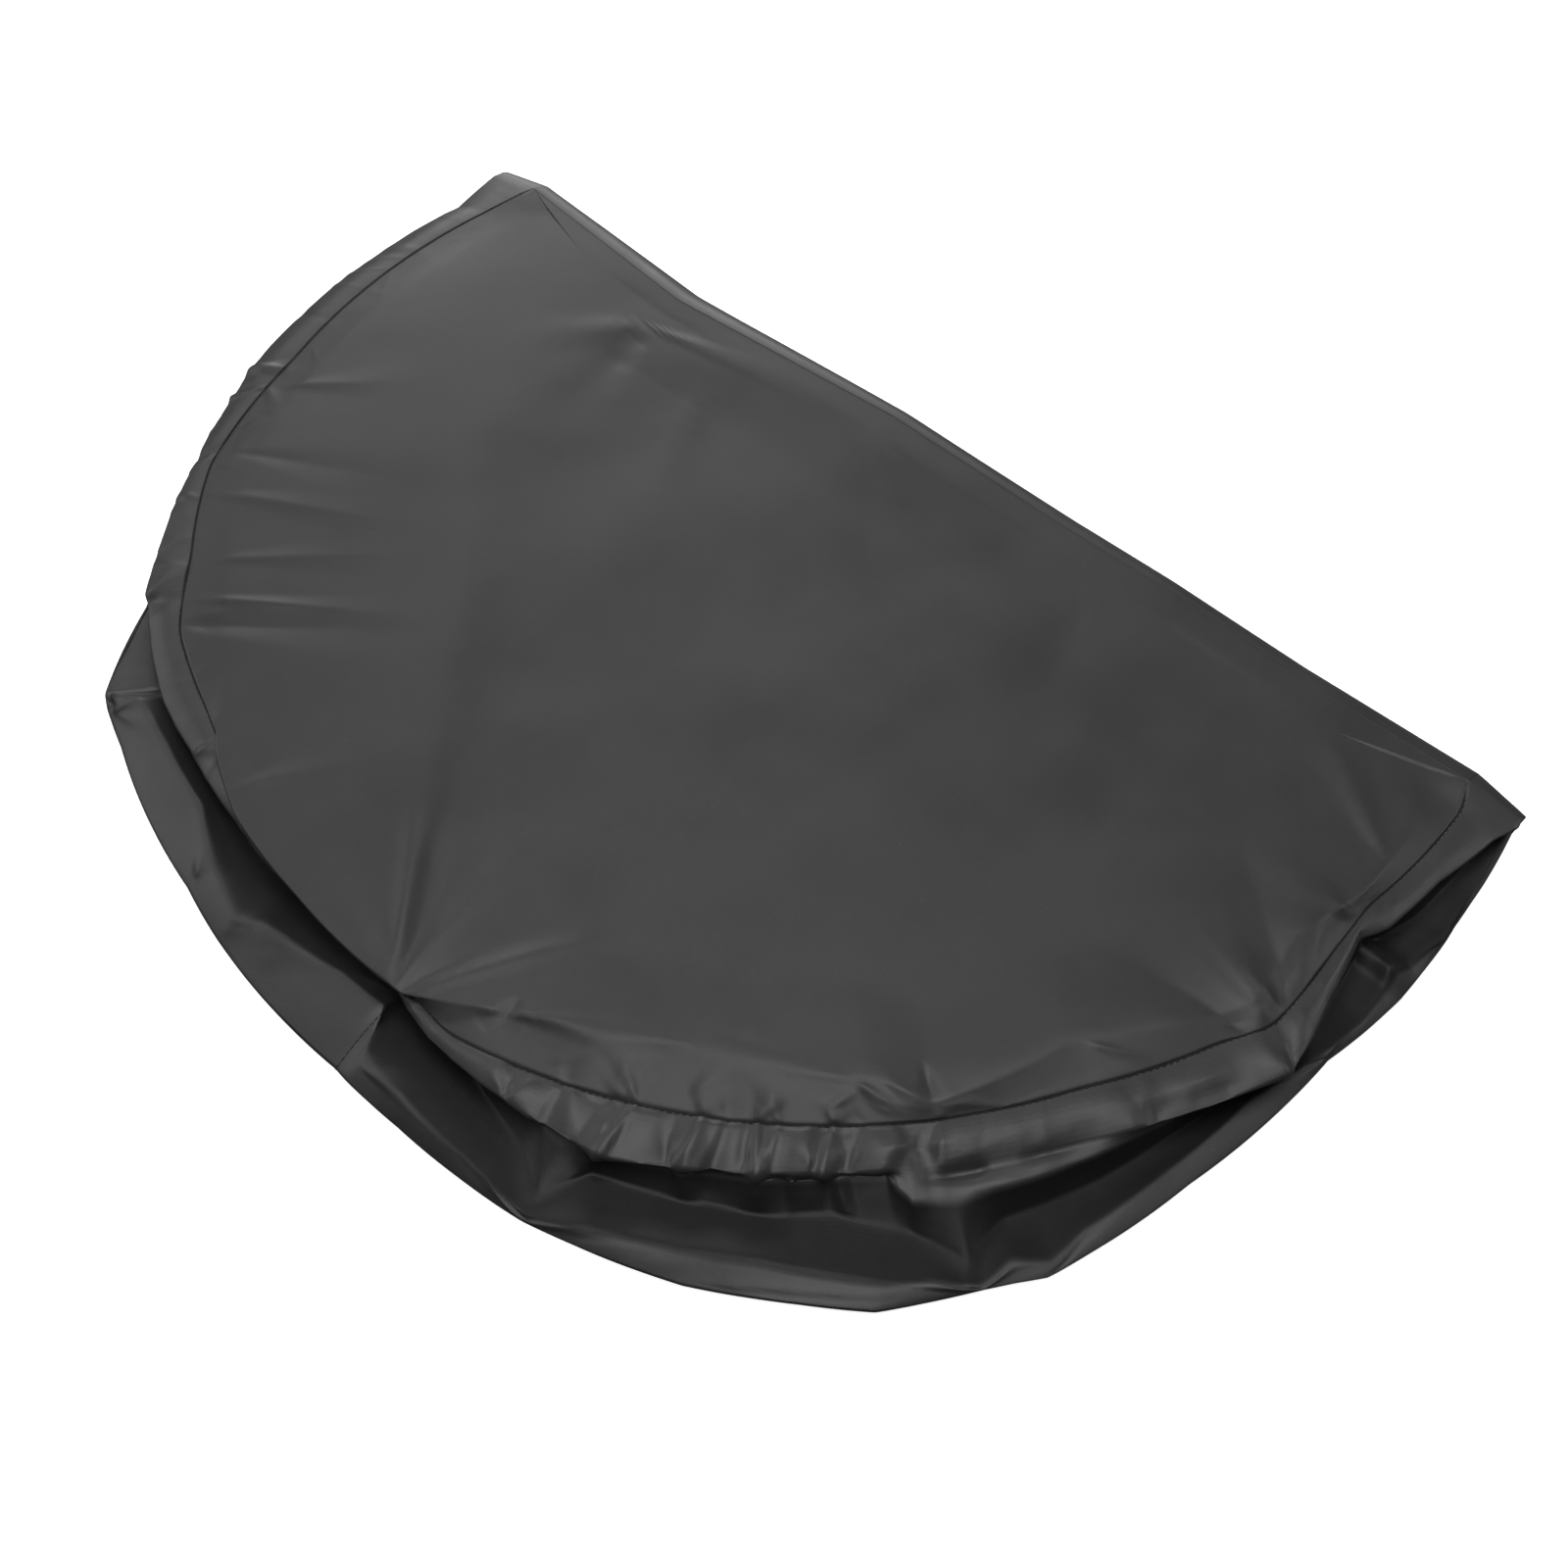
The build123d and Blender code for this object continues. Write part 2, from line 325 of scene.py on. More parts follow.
def swell(x, y, size, draws, waves=6):
    """Slow rise and fall, between -1 and 1."""
    total = np.zeros_like(x)
    for _ in range(waves):
        turn = draws.uniform(0, 2 * math.pi)
        scale = size * draws.uniform(0.7, 1.6)
        total += np.sin(2 * math.pi * (x * math.cos(turn) + y * math.sin(turn)) / scale + draws.uniform(0, 6))
    return total / waves


# %% [markdown]
# ## Puckers
# The band is cut a little longer than the seam it is sewn to, and the extra is eased in as
# puckers. They run across the seam, many of them slanting, strongest at the front right
# where the stack is loosest. The same list of puckers shapes both sides of the seam, so that
# each one runs through the stitching.

# %% Puckers along the face seam
PUCKER_STRENGTH = [
    (-105, 0.2), (-80, 0.5), (-72, 1.6), (-56, 1.2), (-50, 0.4), (0, 0.5), (12, 1.6), (20, 2.2),
    (26, 2.8), (36, 3.4), (44, 2.6), (50, 1.0), (54, 0.25), (60, 0.2), (70, 0.3), (80, 0.4), (105, 0.2),
]
PUCKER_HEIGHT = 1.3
PUCKER_GAP = (1.3, 3.4)  # degrees from one pucker to the next
strength_table = np.array(PUCKER_STRENGTH)
puckers = []
bearing = -106.0
while bearing < 106:
    strength = np.interp(bearing, strength_table[:, 0], strength_table[:, 1])
    tallest = PUCKER_HEIGHT * strength * random_draws.uniform(0.5, 1.2) * MM
    puckers.append(
        {
            "at": math.radians(bearing),
            "height": tallest * random_draws.choice([1, 1, -0.6]),
            "width": random_draws.uniform(4.0, 11.0) * MM,
            "length": random_draws.uniform(14, 32) * MM,
            "lean": random_draws.uniform(-1.5, 1.5),
            "skew": random_draws.uniform(-0.75, 0.75),
            "start": random_draws.choice([0, 0, 1]) * random_draws.uniform(2, 9) * MM,
        }
    )
    bearing += random_draws.uniform(*PUCKER_GAP)

PUCKER_NARROW = 0.35  # share of its width that a pucker has at the seam
PUCKER_FLARE = 1.5
PUCKER_AT_SEAM = 0.25  # share of its height there
PUCKER_RISE = 0.25


def pucker_height(bearings, distance, shorten=1.0):
    """Height of the puckers at a distance from the seam, for each bearing."""
    total = np.zeros(np.broadcast(bearings, distance).shape)
    for pucker in puckers:
        offset = (bearings - pucker["at"]) * face_radius - pucker["lean"] * distance
        reach = pucker["length"] * shorten
        beyond = np.clip(distance - pucker["start"], 0, 1)
        flare = PUCKER_NARROW + PUCKER_FLARE * np.clip(beyond / reach, 0, 1)
        flank = pucker["width"] * flare * (1 + pucker["skew"] * np.sign(offset))
        ridge = np.clip(1 - np.abs(offset) / flank, 0, 1)
        rise = np.clip(beyond / (PUCKER_RISE * reach), 0, 1) * (1 - PUCKER_AT_SEAM)
        rise = rise + (PUCKER_AT_SEAM if pucker["start"] == 0 else 0)
        fall = np.clip(1 - beyond / reach, 0, 1)
        total = total + pucker["height"] * ridge * rise * fall
    return total


print("puckers", len(puckers))

# %% [markdown]
# ## Cloth from rows of points
# Every stretch of cloth is a grid: rows of points that follow one fold after the other. One
# helper joins such rows into a mesh, keeps the flat position of each point as its UV, so that
# the weave follows the cloth, and shades it smooth.


# %% Grid helper
def cloth_grid(name, points, flat, flip=False, clear_of_painted_shade=1.0):
    """A mesh from an array of rows of points, with each point's flat place as its UV.

    Each point also gets a share, kept as an attribute, that paints shade: 1 keeps the cloth's own colour, and
    0, deep in a fold, paints it near black.
    """
    rows, columns = points.shape[:2]
    index = np.arange(rows * columns).reshape(rows, columns)
    quads = np.stack([index[:-1, :-1], index[1:, :-1], index[1:, 1:], index[:-1, 1:]], axis=-1)
    if flip:
        quads = quads[..., ::-1]
    mesh = bpy.data.meshes.new(name)
    mesh.from_pydata(points.reshape(-1, 3).tolist(), [], quads.reshape(-1, 4).tolist())
    layer = mesh.uv_layers.new(name="flat_cloth")
    corners = np.empty(len(mesh.loops), dtype=np.int32)
    mesh.loops.foreach_get("vertex_index", corners)
    layer.data.foreach_set("uv", flat.reshape(-1, 2)[corners].ravel())
    # Painted shade: where this share is low, the material darkens the cloth and dulls its shine.
    painted_shade_attribute = mesh.attributes.new("clear_of_painted_shade", "FLOAT", "POINT")
    painted_shade_attribute.data.foreach_set("value", (clear_of_painted_shade + 0 * points[..., 0]).astype(np.float32).ravel())
    piece = bpy.data.objects.new(name, mesh)
    bpy.context.scene.collection.objects.link(piece)
    return piece


def finish_cloth(piece):
    """Merge points that lie on each other, as at a pole, and shade the cloth smooth."""
    bpy.ops.object.select_all(action="DESELECT")
    piece.select_set(True)
    bpy.context.view_layer.objects.active = piece
    bpy.ops.object.mode_set(mode="EDIT")
    bpy.ops.mesh.select_all(action="SELECT")
    bpy.ops.mesh.remove_doubles(threshold=0.000002)
    bpy.ops.object.mode_set(mode="OBJECT")
    bpy.ops.object.shade_smooth()
    print(piece.name, len(piece.data.vertices), "points", len(piece.data.polygons), "faces")
    return piece


def smooth_rows(points, passes):
    """Round the folds between rows a little."""
    for _ in range(passes):
        points[1:-1] = (points[:-2] + 2 * points[1:-1] + points[2:]) / 4
    return points


def ring(bearings, radius, height):
    """Points about the face's centre: bearing zero is the front."""
    return np.stack(
        [radius * np.sin(bearings), centre_y - radius * np.cos(bearings), height + 0 * bearings], axis=-1
    )

# %% [markdown]
# ## The top of the face
# The face is one round piece, 720 mm across. Most of it lies on top of the stack. Its grid runs
# out from the face's centre: to the seam round the arc, and to the fold line along the chord.
# It is flat in the middle, turns down at a brow, and meets the band at the seam. Long faint
# creases from packing cross it, and sharper ones run in from each kink of the edge.

# %% Face creases
# Start, end, height and width in millimetres. The places are measured from the middle of a line
# behind the centre, and many of them were worked out by another program.
CREASE_LINE = 108
FACE_CREASES = [
    ((-206, -49), (-40, -8), 2.4, 6), ((-206, -49), (-184, -164), -1.6, 8),
    ((-206, -49), (-275, -135), 1.4, 9), ((-240, -378), (-105, -282), 1.5, 5),
    ((-238, -400), (-110, -296), -2.0, 8), ((-252, -352), (-145, -246), 0.8, 7),
    ((-298, -322), (-150, -236), 0.9, 7), ((-310, -290), (-190, -225), -0.8, 8),
    ((-330, -235), (-240, -150), 0.9, 8), ((33, -470), (-260, -125), 4.0, 10),
    ((33, -470), (-290, -95), 2.6, 24), ((33, -470), (-95, -425), 1.8, 7),
    ((33, -470), (-30, -335), -1.8, 8), ((36, -474), (112, -335), 2.6, 6),
    ((36, -474), (60, -395), -2.2, 7), ((33, -470), (10, -325), 1.8, 7),
    ((-152, -255), (-36, -352), 1.6, 9), ((-120, -445), (-60, -350), 1.2, 9),
    ((84, -443), (34, -474), 1.8, 5), ((84, -443), (165, -398), 2.2, 5),
    ((85, -434), (87, -458), -1.6, 5), ((233, -359), (135, -402), 2.2, 5),
    ((233, -359), (288, -349), 1.8, 5), ((165, -395), (120, -425), 1.4, 4),
    ((292, -318), (360, -212), 1.8, 4), ((292, -318), (258, -352), 1.6, 4),
    ((300, -268), (345, -243), 1.4, 4), ((382, -206), (245, -219), -2.8, 10),
    ((384, -206), (268, -165), 1.8, 8), ((384, -206), (316, -92), 2.2, 6),
    ((384, -206), (322, -55), -2.2, 7), ((384, -206), (215, -60), -2.0, 12),
    ((345, -82), (235, -5), 1.6, 8), ((366, -190), (305, -176), 1.8, 5),
    ((360, -118), (262, -130), 1.4, 8), ((368, -62), (300, -20), 1.0, 8),
    ((242, -348), (276, -343), 1.8, 4), ((252, -330), (285, -352), -1.8, 5),
    ((-60, -20), (120, -140), 0.9, 12), ((120, -40), (190, -210), -0.9, 12),
    ((-150, -60), (-60, -230), 0.8, 14),
]

# %% The fold's edge isn't quite straight
FOLD_DENTS = [(-348, 0), (-208, 13), (-45, 0), (80, 1.5), (150, 0), (239, 2.5), (348, 0)]
dent_table = np.array(FOLD_DENTS) * MM


def fold_dent(x):
    """How far the fold's upper edge is pushed in, at each place along it."""
    return np.interp(x, dent_table[:, 0], dent_table[:, 1])


# %% Face, arc side: the rays' lengths, and the face's height
chord_bearings = np.pi - np.arctan2(fold_x, fold_offset)
chord_bearings = chord_bearings[::-1]
face_bearings = np.concatenate([arc, chord_bearings[1:]])
on_arc = np.arange(len(face_bearings)) < len(arc)
ray_length = np.where(on_arc, face_radius, fold_offset / np.maximum(-np.cos(face_bearings), 1e-3))
ray_length[len(arc) - 1] = face_radius
ray_length[-1] = face_radius

seam_reach, seam_height = follow(SEAM, arc, soften=12)
seam_reach[[0, -1]] = 0
seam_height[[0, -1]] = top_height
brow_reach, brow_height = follow(BROW, arc, soften=4)
seam_open = np.clip((end_bearing - np.abs(arc)) / 0.03, 0, 1)
BROW_WIDTH = 24 * MM
INNER_WIDTH = 75 * MM
SEAM_STEPS = 20
near = BROW_WIDTH * np.linspace(1, 0, SEAM_STEPS + 1) ** 1.3
middle = np.linspace(INNER_WIDTH, BROW_WIDTH, 16)[:-1]
far = np.linspace(face_radius, INNER_WIDTH, 38)[:-1]
from_seam = np.concatenate([far, middle, near])
face_rows = []
brow_to_inner = [BROW_WIDTH, INNER_WIDTH]
for distance in from_seam:
    share = 1 - distance / face_radius
    radius = share * ray_length
    height = np.full_like(radius, top_height)
    reach = np.where(
        distance < BROW_WIDTH,
        np.interp(distance, [0, BROW_WIDTH], [0, 1]) * (brow_reach - seam_reach) + seam_reach,
        np.interp(distance, brow_to_inner, [1, 0]) * (brow_reach + BROW_WIDTH) - distance,
    )
    lift = np.where(
        distance < BROW_WIDTH,
        np.interp(distance, [0, BROW_WIDTH], [0, 1]) * (brow_height - seam_height) + seam_height,
        np.interp(distance, brow_to_inner, [1, 0]) * (brow_height - top_height) + top_height,
    )
    radius[: len(arc)] = face_radius + reach
    height[: len(arc)] = lift
    face_rows.append(
        np.stack([radius * np.sin(face_bearings), centre_y - radius * np.cos(face_bearings), height], axis=-1)
    )
face_points = smooth_rows(np.array(face_rows), 2)
flat_share = (1 - from_seam / face_radius)[:, None]
face_flat = np.stack(
    [
        flat_share * ray_length * np.sin(face_bearings),
        -flat_share * ray_length * np.cos(face_bearings),
    ],
    axis=-1,
)

# %% Face: creases, swell and puckers
SOFT_LIMIT = 0.6 * MM
FACE_SWELL = 1.1 * MM
FACE_CRUMPLE = 0.35 * MM
PUCKERS_ON_FACE = 0.45  # share of their height on the band
FACE_SAG = 3.2 * MM
SAG_FROM_FOLD = 0.07
SAG_FROM_BROW = 0.05


def below_top(height):
    """Heights eased in under the stack's top, so that nothing is below the floor once unfolded."""
    over = np.clip(height - (top_height - SOFT_LIMIT), 0, None)
    return np.minimum(height, top_height - SOFT_LIMIT) + SOFT_LIMIT * (1 - np.exp(-over / SOFT_LIMIT))


face_x = face_points[..., 0]
face_y = face_points[..., 1]
added = np.zeros_like(face_x)
for start, end, height, width in FACE_CREASES:
    start_place = (start[0] * MM, centre_y + (CREASE_LINE + start[1]) * MM)
    end_place = (end[0] * MM, centre_y + (CREASE_LINE + end[1]) * MM)
    added += crease(face_x, face_y, start_place, end_place, height * MM, width * MM)
added += FACE_SWELL * swell(face_x, face_y, 0.16, random_draws)
facets = crumple(face_x, face_y, 0.06, random_draws)
crumpled = np.clip(0.35 + swell(face_x, face_y, 0.2, random_draws), 0, 1)
added += FACE_CRUMPLE * facets * crumpled
calm_at_fold = np.clip((fold_y - face_y) / 0.02, 0, 1)
distance_grid = from_seam[:, None] * np.ones(len(face_bearings))
calm_at_seam = np.clip(distance_grid / 0.012, 0, 1)
added *= calm_at_fold * np.where(on_arc, calm_at_seam, 1)
clear_of_seam = np.clip(from_seam / (2 * MM), 0, 1)[:, None]
face_puckers = pucker_height(arc[None, :], from_seam[:, None], shorten=0.7)
added[:, on_arc] += PUCKERS_ON_FACE * face_puckers * clear_of_seam
sag_share = np.clip((fold_y - face_y) / SAG_FROM_FOLD, 0, 1)
sag_share = sag_share * np.clip((distance_grid - BROW_WIDTH) / SAG_FROM_BROW, 0, 1)
sag_share *= np.interp(face_x, [-0.33, -0.22, -0.12], [0.1, 0.35, 1])
face_points[..., 2] += added - FACE_SAG * sag_share * sag_share * (3 - 2 * sag_share)
face_points[..., 2] = below_top(face_points[..., 2])
face_points[-1, ~on_arc, 2] = top_height
SEAM_GROOVE = 0.9 * MM
face_points[-1, on_arc, 2] -= SEAM_GROOVE * seam_open
face_points[-2, on_arc, 2] -= 0.35 * SEAM_GROOVE * seam_open
dent = fold_dent(face_points[..., 0]) * np.exp(-np.clip(fold_y - face_points[..., 1], 0, 1) / (35 * MM))
face_points[..., 1] -= dent
face_top_cloth = finish_cloth(cloth_grid("face_top_cloth", face_points, face_flat))

# %% [markdown]
# ## The bend and the flap
# At the fold the face rolls over a soft bend and lies flat under the stack. The bend is a piece
# of its own: its upper edge meets the top part, its lower edge meets the flap.

# %% The bend
BEND_STEPS = 24
FOLD_WAVER = 0.06
bend_turn = np.linspace(math.pi / 2, -math.pi / 2, BEND_STEPS + 1)[:, None]
upper_share = (1 + np.sin(bend_turn)) / 2
fold_swell = FOLD_WAVER * swell(fold_x, 0 * fold_x, 0.15, random_draws)
fold_swell = fold_swell * (1 - np.abs(fold_x / half_chord) ** 8)
bend_y = fold_y + bend_radius * np.cos(bend_turn) * (1 + fold_swell) - upper_share * fold_dent(fold_x)
bend_z = bend_radius * (1 + np.sin(bend_turn)) + 0 * fold_x
bend_points = np.stack([fold_x + 0 * bend_turn, bend_y, bend_z], axis=-1)
bend_length = bend_radius * (math.pi / 2 - bend_turn)
bend_flat = np.stack([fold_x + 0 * bend_turn, fold_offset + bend_length + 0 * fold_x], axis=-1)
bend_cloth = finish_cloth(cloth_grid("face_bend_cloth", bend_points, bend_flat, flip=True))

# %% The flap's face
FLAP_STEPS = 40
FLAP_PUFF = 1.2 * MM
flap_centre_y = fold_y + fold_offset
depth_share = np.linspace(0, 1, FLAP_STEPS + 1)[:, None]
flap_edge_y = flap_centre_y - face_radius * np.cos(flap_arc)
flap_y = fold_y + depth_share * (flap_edge_y - fold_y)
flap_x = fold_x + 0 * depth_share
still_edge = np.sin(math.pi * depth_share) * (1 - (fold_x / half_chord) ** 2)
flap_z = FLAP_PUFF * still_edge * (0.6 + 0.4 * swell(flap_x, flap_y, 0.14, random_draws))
flap_points = np.stack([flap_x, flap_y, flap_z], axis=-1)
flap_flat = np.stack([flap_x, fold_offset + math.pi * bend_radius + fold_y - flap_y], axis=-1)
flap_cloth = finish_cloth(cloth_grid("face_flap_cloth", flap_points, flap_flat, flip=True))

# %% [markdown]
# ## The side band
# The band is one long strip. From the face seam it goes out to the first fold, in to the
# valley, out again to the lowest fold on the floor, and back in under the stack to the hem. Its
# rows of points follow those folds in turn. The same rows, laid nearly flat, make the part of
# the band that is folded under with the flap.

# %% Rows of the band
BAND_FOLDS = [SEAM, CREST, LIP, TUCK, RIDGE, RIM, UNDER, HEM_NECK, HEM_EDGE, HEM_BACK]
BAND_SOFTEN = [12, 0, 0, 1, 1, 0, 20, 20, 20, 20]
BAND_STEPS = [18, 8, 14, 12, 12, 16, 12, 7, 7]
SEAM_CROWDING = 1.3
BAND_BULGE = [1.5, 0.0, -0.6, -0.6, 0.5, 0.0, 0.0, 0.6, 0.6]
FLAP_FOLDS = [  # reach and height in the middle, then at the ends of the flap
    ((0, 0), (0, 0)), ((9, 1.4), (28, 4)), ((8, 1.8), (26, 4.3)), ((-25, 2.2), (10, 4.5)),
    ((4, 2.5), (18, 4.7)), ((8, 2.7), (24, 4.9)), ((-10, 2.9), (-12, 5)), ((-107, 2.4), (-107, 5)),
    ((-123, 3.8), (-123, 5.3)), ((-107, 5.2), (-107, 6)),
]


def band_rows(folds, bearings_for, place):
    """Grid points of the band, and each row's fold number as a real number."""
    rings = []
    for reach, height in folds:
        radius = face_radius + reach
        rings.append(place(bearings_for(radius), radius, height))
    rows = [rings[0]]
    numbers = [0.0]
    for number, steps in enumerate(BAND_STEPS):
        for step in range(1, steps + 1):
            share = (step / steps) ** (SEAM_CROWDING if number == 0 else 1)
            rows.append((1 - share) * rings[number] + share * rings[number + 1])
            numbers.append(number + share)
    return np.array(rows), np.array(numbers)


def outward(points):
    """Unit direction out of the cloth's outer side at each point of a grid."""
    normal = np.cross(np.gradient(points, axis=0), np.gradient(points, axis=1))
    length = np.linalg.norm(normal, axis=-1, keepdims=True)
    return normal / np.maximum(length, 1e-9)


def run_along(points):
    """Distance of each row from the first one, along the middle column."""
    middle_column = points[:, points.shape[1] // 2]
    steps = np.linalg.norm(np.diff(middle_column, axis=0), axis=1)
    return np.concatenate([[0], np.cumsum(steps)])


# %% Creases of the band: bearing and fold number at the start and the end, height and width in mm
BAND_CREASES = [
    ((22.3, 4.7), (17.5, 2.4), 3.0, 6), ((22.3, 4.7), (28, 2.6), 3.0, 7),
    ((22.3, 4.7), (21.5, 2.2), -3.0, 6), ((50.8, 4.6), (46.5, 2.3), 3.5, 5),
    ((50.8, 4.6), (49.2, 2.2), -3.0, 5), ((50.8, 4.6), (55.5, 2.3), 3.0, 6),
    ((38.5, 1.6), (42.5, 3.2), 3.0, 6), ((47.0, 1.9), (43.0, 3.0), 2.5, 5),
    ((55.4, 4.8), (60, 2.8), -2.5, 6), ((-33.4, 4.8), (-33.4, 2.2), 3.5, 4),
    ((-33.4, 4.8), (-29, 2.6), 1.8, 6), ((-33.4, 4.8), (-41, 3.0), -3.0, 8),
    ((5.5, 2.2), (5.4, 4.8), -2.2, 4), ((6.6, 4.3), (14, 2.9), 2.0, 6), ((4.0, 3.0), (-6, 4.2), 1.6, 9),
    ((17.7, 0.9), (16.0, 0.1), -2.6, 4), ((17.7, 0.9), (13.5, 0.15), 2.0, 5),
    ((17.7, 0.9), (20.5, 0.2), 1.8, 4), ((47.2, 0.5), (41, 0.85), 2.6, 4),
    ((47.2, 0.5), (50.5, 0.95), -2.2, 4), ((48.5, 0.55), (56, 0.4), 1.8, 5),
    ((30.5, 0.95), (28.2, 0.05), -2.4, 3.5), ((30.5, 0.95), (32.8, 0.1), 2.2, 3.5),
    ((36, 0.9), (34.5, 0.1), -2.0, 3.5), ((40.5, 0.85), (38.5, 0.1), 2.4, 4),
    ((76, 0.95), (72, 0.1), 2.0, 6), ((76, 0.95), (78, 0.1), -2.4, 5),
    ((88.6, 1.1), (88.4, 3.8), 4.0, 4), ((90.6, 1.0), (89.8, 3.4), -3.0, 4),
    ((79.7, 4.5), (82.5, 2.4), 2.4, 6), ((79.7, 4.5), (76.5, 2.8), -2.4, 5),
    ((94.5, 4.6), (93, 2.6), 2.0, 5), ((-25.5, 0.9), (-24.5, 0.1), 2.0, 4),
    ((-59, 0.9), (-61, 0.1), -1.6, 6), ((-43, 0.95), (-47, 0.1), 2.0, 6),
    ((-43, 0.95), (-40.5, 0.1), -1.6, 5), ((-68, 0.9), (-69, 0.1), -2.2, 4),
    ((-72, 0.9), (-70.5, 0.1), 2.0, 4), ((-15, 4.6), (-18, 2.9), 1.6, 8),
    ((72, 0.55), (50, 0.42), 1.6, 4), ((73, 0.8), (56, 0.7), -1.4, 4),
    ((64.5, 1.0), (58, 0.35), 1.4, 6), ((64.5, 1.0), (70, 0.3), -1.4, 6),
    ((33, 4.9), (50.6, 4.45), -1.8, 3), ((47.6, 1.3), (67, 1.05), -3.2, 2.5),
    ((55, 1.2), (66, 1.02), -2.0, 2), ((53, 1.25), (47, 1.5), -2.2, 2.5),
]


# %% The band on top
def top_bearings(radius):
    last = math.pi / 2 + math.asin(fold_offset / radius[-1])
    return arc * last / end_bearing


top_folds = []
for kinks, soften in zip(BAND_FOLDS, BAND_SOFTEN):
    top_folds.append(follow(kinks, arc, soften))
top_folds[0] = [seam_reach, seam_height]
band_points, band_numbers = band_rows(top_folds, top_bearings, ring)
band_run = run_along(band_points)
fold_share = band_numbers - np.floor(band_numbers)
bulge = np.array([BAND_BULGE[min(int(number), len(BAND_BULGE) - 1)] for number in band_numbers])
still_ends = np.clip((end_bearing - np.abs(arc)) / 0.12, 0, 1)
band_normal = outward(band_points)
band_points += (bulge * MM * np.sin(math.pi * fold_share))[:, None, None] * band_normal * still_ends[:, None]
band_points = smooth_rows(band_points, 1)

# %% The band on top: puckers, crumples and the gathered hem
BAND_CRUMPLE = 1.5 * MM
BAND_RUFFLE = 2.0 * MM
HEM_GATHER = 1.6 * MM
CALM_BELOW = 2 * MM  # the cloth lies still on the floor, and gets loose over this range above it
CALM_RANGE = 7 * MM
LOWEST_CLOTH = 0.8 * MM
band_normal = outward(band_points)
along_band = arc * face_radius
band_u = along_band[None, :] + 0 * band_run[:, None]
band_v = band_run[:, None] + 0 * along_band[None, :]
lift = pucker_height(arc[None, :], band_run[:, None]) * (band_numbers < 3)[:, None]
for (start_bearing, start_fold), (end_fold_bearing, end_fold), height, width in BAND_CREASES:
    start_place = (math.radians(start_bearing) * face_radius, np.interp(start_fold, band_numbers, band_run))
    end_place = (math.radians(end_fold_bearing) * face_radius, np.interp(end_fold, band_numbers, band_run))
    lift += crease(band_u, band_v, start_place, end_place, height * MM, width * MM)
loose = np.interp(band_numbers, [0, 0.4, 1, 3, 4, 5, 6, 7, 9], [0, 0.5, 0.8, 1.2, 1.2, 0.5, 1.0, 0.6, 0.3])
patches = np.clip(0.5 + 0.9 * swell(band_u, band_v, 0.12, random_draws), 0.15, 1)
lift += BAND_CRUMPLE * loose[:, None] * crumple(band_u, band_v, 0.032, random_draws) * patches
ruffled = np.interp(np.degrees(arc), [8, 18, 26, 44, 52], [0, 0.6, 1, 1, 0])
ruffle_rows = np.interp(band_numbers, [0, 0.15, 0.9, 1.3], [0, 1, 0.7, 0])
lift += BAND_RUFFLE * ruffled * ruffle_rows[:, None] * crumple(band_u, band_v, 0.021, random_draws, waves=2)
gathered = np.interp(band_numbers, [5, 6.2, 7, 9], [0, 0.5, 1.0, 1.0])
lift += HEM_GATHER * gathered[:, None] * crumple(band_u, band_v * 0.15, 0.016, random_draws, waves=3)
near_floor = np.clip((band_points[..., 2] - CALM_BELOW) / CALM_RANGE, 0.1, 1)
band_points += (lift * still_ends * near_floor)[..., None] * band_normal
band_points[..., 2] = below_top(np.maximum(band_points[..., 2], LOWEST_CLOTH))
band_points[0] = face_points[-1, : len(arc)]
band_flat = np.stack([band_u, band_v], axis=-1)

# %% The band on top: painted shade in the valley, and where it starts and ends in fold numbers
VALLEY_START = 2.05
VALLEY_ENTRY = 0.14
VALLEY_EXIT = 0.15
bearing_now = np.degrees(arc)[None, :]
valley_end = np.interp(
    bearing_now,
    [-47, -45, -34.6, -34.2, 10, 20, 45, 48, 56, 72, 78, 90, 104],
    [3.85, 4.9, 4.9, 3.85, 3.9, 4.1, 4.1, 3.85, 3.9, 3.9, 4.0, 4.3, 4.3],
)
enters = np.clip((band_numbers[:, None] - VALLEY_START) / VALLEY_ENTRY, 0, 1)
leaves = np.clip((band_numbers[:, None] - valley_end) / VALLEY_EXIT, 0, 1)
deepest = np.interp(
    bearing_now,
    [-105, -60, 0, 12, 46, 52, 74, 80, 105],
    [0.45, 0.4, 0.4, 0.3, 0.25, 0.12, 0.12, 0.2, 0.3],
)
# Painted shade: the cloth in the valley under the crest is made near black and dull, as the overhang would
# shade it.
painted_shade_clearance = 1 - (1 - deepest) * enters * (1 - leaves)
band_top_cloth = finish_cloth(cloth_grid("band_top_cloth", band_points, band_flat, clear_of_painted_shade=painted_shade_clearance))


# %% The band under the flap
def flap_bearings(radius):
    last = math.acos(fold_offset / radius[-1])
    return flap_arc * last / flap_bearing


def flap_ring(bearings, radius, height):
    return np.stack(
        [radius * np.sin(bearings), flap_centre_y - radius * np.cos(bearings), height + 0 * bearings], axis=-1
    )


